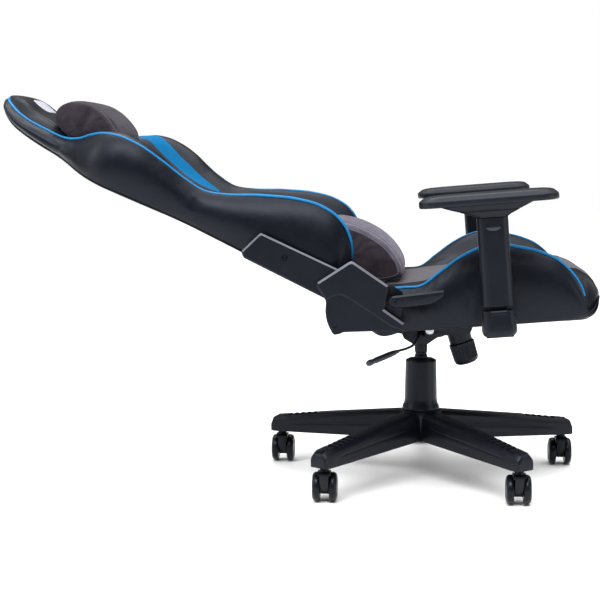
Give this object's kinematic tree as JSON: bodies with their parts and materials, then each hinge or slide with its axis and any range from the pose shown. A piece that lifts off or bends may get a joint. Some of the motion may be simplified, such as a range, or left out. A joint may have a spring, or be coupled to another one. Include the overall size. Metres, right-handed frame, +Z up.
{
  "type": "gaming chair",
  "caption": "Racing-style gaming chair with a reclining winged back, two loose pillows, adjustable armrests, a gas column and a five-star caster base.",
  "frame": {"origin": "on the floor, under the middle of the chair's box with the back fully reclined", "axes": "+X is the way the sitter faces, +Y is the sitter's left, +Z is up"},
  "size_m": [1.253, 0.758, 0.8279],
  "materials": {
    "plastic": "fine moulded texture, charcoal black",
    "caster_plastic": "smooth black nylon",
    "wheel_plastic": "satin black nylon",
    "arm_pad": "soft-touch black polyurethane",
    "upholstery": "black leather-look cover with blue piping, over foam",
    "pillow_plush": "short-pile plush, dark purple grey",
    "black_steel": "black powder coat",
    "bright_steel": "bright zinc",
    "plywood": "raw plywood"
  },
  "bodies": {
    "base": {"base_star": "plastic", "gas_outer_tube": "black_steel", "gas_bushing": "wheel_plastic", "thrust_bearing": "bright_steel", "column_cover_lower": "plastic"},
    "caster_1": {"caster_hood_1": "caster_plastic"},
    "caster_2": {"caster_hood_2": "caster_plastic"},
    "caster_3": {"caster_hood_3": "caster_plastic"},
    "caster_4": {"caster_hood_4": "caster_plastic"},
    "caster_5": {"caster_hood_5": "caster_plastic"},
    "caster_wheels_1": {"caster_wheel_front_1": "wheel_plastic", "caster_wheel_rear_1": "wheel_plastic"},
    "caster_wheels_2": {"caster_wheel_front_2": "wheel_plastic", "caster_wheel_rear_2": "wheel_plastic"},
    "caster_wheels_3": {"caster_wheel_front_3": "wheel_plastic", "caster_wheel_rear_3": "wheel_plastic"},
    "caster_wheels_4": {"caster_wheel_front_4": "wheel_plastic", "caster_wheel_rear_4": "wheel_plastic"},
    "caster_wheels_5": {"caster_wheel_front_5": "wheel_plastic", "caster_wheel_rear_5": "wheel_plastic"},
    "gas_rod": {"gas_piston_rod": "bright_steel"},
    "cover_middle": {"column_cover_middle": "plastic"},
    "mechanism": {"gas_cylinder": "black_steel", "column_cover_upper": "plastic", "mechanism_housing": "black_steel", "tilt_pivot_shaft": "bright_steel"},
    "valve_pin": {"gas_valve_pin": "bright_steel"},
    "height_lever": {"height_lever": "black_steel", "height_lever_grip": "plastic"},
    "seat": {"tilt_plate": "black_steel", "tension_spring": "bright_steel", "seat_base_panel": "plywood", "seat_cushion": "upholstery", "seat_hinge_plate_right": "black_steel", "seat_hinge_plate_left": "black_steel", "hinge_cover_right": "plastic", "hinge_cover_left": "plastic", "arm_bracket_right": "black_steel", "arm_bracket_left": "black_steel", "arm_socket_right": "plastic", "arm_socket_left": "plastic"},
    "tension_knob": {"tension_knob": "plastic"},
    "recline_lever": {"recline_lever": "plastic"},
    "back": {"back_cushion": "upholstery", "recline_cross_shaft": "black_steel", "back_hinge_arm_right": "black_steel", "back_hinge_arm_left": "black_steel", "back_bracket_cover_right": "plastic", "back_bracket_cover_left": "plastic", "head_pillow": "pillow_plush"},
    "lumbar_pillow": {"lumbar_pillow": "pillow_plush"},
    "arm_sleeve_right": {"arm_sleeve_right": "plastic"},
    "arm_button_right": {"arm_button_right": "plastic"},
    "arm_mount_right": {"arm_pad_mount_right": "plastic"},
    "arm_pad_right": {"arm_pad_right": "arm_pad"},
    "arm_sleeve_left": {"arm_sleeve_left": "plastic"},
    "arm_button_left": {"arm_button_left": "plastic"},
    "arm_mount_left": {"arm_pad_mount_left": "plastic"},
    "arm_pad_left": {"arm_pad_left": "arm_pad"}
  },
  "joints": [
    {"name": "seat_swivel", "type": "hinge", "parent": "base", "child": "gas_rod", "pos_m": [0.266, 0, 0.2], "axis": [0, 0, 1], "continuous": true},
    {"name": "seat_height", "type": "slide", "parent": "gas_rod", "child": "mechanism", "axis": [0, 0, 1], "range_m": [0, 0.08]},
    {"name": "cover_middle_slide", "type": "slide", "parent": "base", "child": "cover_middle", "axis": [0, 0, 1], "range_m": [0, 0.04]},
    {"name": "height_lever_lift", "type": "hinge", "parent": "mechanism", "child": "height_lever", "pos_m": [0.266, -0.04, 0.3203], "axis": [-0.88, 0.475, 0], "range_deg": [0, 8], "stiffness_Nm_per_rad": 1.5, "springref_deg": -5.73},
    {"name": "valve_press", "type": "slide", "parent": "mechanism", "child": "valve_pin", "axis": [0, 0, -1], "range_m": [0, 0.006]},
    {"name": "seat_tilt", "type": "hinge", "parent": "mechanism", "child": "seat", "pos_m": [0.284, 0, 0.324], "axis": [0, -1, 0], "range_deg": [0, 12], "stiffness_Nm_per_rad": 150, "springref_deg": -22.92},
    {"name": "tension_knob_turn", "type": "hinge", "parent": "seat", "child": "tension_knob", "pos_m": [0.3478, 0, 0.31], "axis": [0.2924, 0, -0.9563], "range_deg": [0, 720]},
    {"name": "back_recline", "type": "hinge", "parent": "seat", "child": "back", "pos_m": [0.136, 0, 0.408], "axis": [0, 1, 0], "range_deg": [0, 63]},
    {"name": "lumbar_slide", "type": "slide", "parent": "back", "child": "lumbar_pillow", "axis": [-0.8942, 0, 0.4478], "range_m": [0, 0.14]},
    {"name": "recline_lever_lift", "type": "hinge", "parent": "seat", "child": "recline_lever", "pos_m": [0.21288, -0.285, 0.41101], "axis": [0, -1, 0], "range_deg": [0, 25], "stiffness_Nm_per_rad": 1, "springref_deg": -17.19},
    {"name": "arm_height_right", "type": "slide", "parent": "seat", "child": "arm_sleeve_right", "axis": [-0.075, 0, 0.9972], "range_m": [0, 0.07]},
    {"name": "arm_button_press_right", "type": "slide", "parent": "arm_sleeve_right", "child": "arm_button_right", "axis": [0, 1, 0], "range_m": [0, 0.003], "stiffness_N_per_m": 400, "springref_m": -0.002},
    {"name": "arm_swivel_right", "type": "hinge", "parent": "arm_sleeve_right", "child": "arm_mount_right", "pos_m": [0.39663, -0.33, 0.5932], "axis": [-0.075, 0, 0.9972], "range_deg": [-12, 12]},
    {"name": "arm_pad_slide_right", "type": "slide", "parent": "arm_mount_right", "child": "arm_pad_right", "axis": [0.9972, 0, 0.075], "range_m": [-0.02, 0.03]},
    {"name": "arm_height_left", "type": "slide", "parent": "seat", "child": "arm_sleeve_left", "axis": [-0.075, 0, 0.9972], "range_m": [0, 0.07]},
    {"name": "arm_button_press_left", "type": "slide", "parent": "arm_sleeve_left", "child": "arm_button_left", "axis": [0, -1, 0], "range_m": [0, 0.003], "stiffness_N_per_m": 400, "springref_m": -0.002},
    {"name": "arm_swivel_left", "type": "hinge", "parent": "arm_sleeve_left", "child": "arm_mount_left", "pos_m": [0.39663, 0.33, 0.5932], "axis": [-0.075, 0, 0.9972], "range_deg": [-12, 12]},
    {"name": "arm_pad_slide_left", "type": "slide", "parent": "arm_mount_left", "child": "arm_pad_left", "axis": [0.9972, 0, 0.075], "range_m": [-0.02, 0.03]},
    {"name": "caster_swivel_1", "type": "hinge", "parent": "base", "child": "caster_1", "pos_m": [0.57985, 0.10198, 0.08], "axis": [0, 0, 1], "continuous": true},
    {"name": "caster_swivel_2", "type": "hinge", "parent": "base", "child": "caster_2", "pos_m": [0.266, 0.33, 0.08], "axis": [0, 0, 1], "continuous": true},
    {"name": "caster_swivel_3", "type": "hinge", "parent": "base", "child": "caster_3", "pos_m": [-0.04785, 0.10198, 0.08], "axis": [0, 0, 1], "continuous": true},
    {"name": "caster_swivel_4", "type": "hinge", "parent": "base", "child": "caster_4", "pos_m": [0.07203, -0.26698, 0.08], "axis": [0, 0, 1], "continuous": true},
    {"name": "caster_swivel_5", "type": "hinge", "parent": "base", "child": "caster_5", "pos_m": [0.45997, -0.26698, 0.08], "axis": [0, 0, 1], "continuous": true},
    {"name": "caster_roll_1", "type": "hinge", "parent": "caster_1", "child": "caster_wheels_1", "pos_m": [0.57985, 0.12198, 0.03], "axis": [1, 0, 0], "continuous": true},
    {"name": "caster_roll_2", "type": "hinge", "parent": "caster_2", "child": "caster_wheels_2", "pos_m": [0.266, 0.35, 0.03], "axis": [1, 0, 0], "continuous": true},
    {"name": "caster_roll_3", "type": "hinge", "parent": "caster_3", "child": "caster_wheels_3", "pos_m": [-0.04785, 0.12198, 0.03], "axis": [1, 0, 0], "continuous": true},
    {"name": "caster_roll_4", "type": "hinge", "parent": "caster_4", "child": "caster_wheels_4", "pos_m": [0.07203, -0.24698, 0.03], "axis": [1, 0, 0], "continuous": true},
    {"name": "caster_roll_5", "type": "hinge", "parent": "caster_5", "child": "caster_wheels_5", "pos_m": [0.45997, -0.24698, 0.03], "axis": [1, 0, 0], "continuous": true}
  ],
  "couplings": [
    {"joint": "cover_middle_slide", "follows": "seat_height", "ratio": 0.5},
    {"joint": "valve_press", "follows": "height_lever_lift", "m_per_rad": 0.04},
    {"joint": "lumbar_slide", "follows": "back_recline", "m_per_rad": 0.1265}
  ]
}
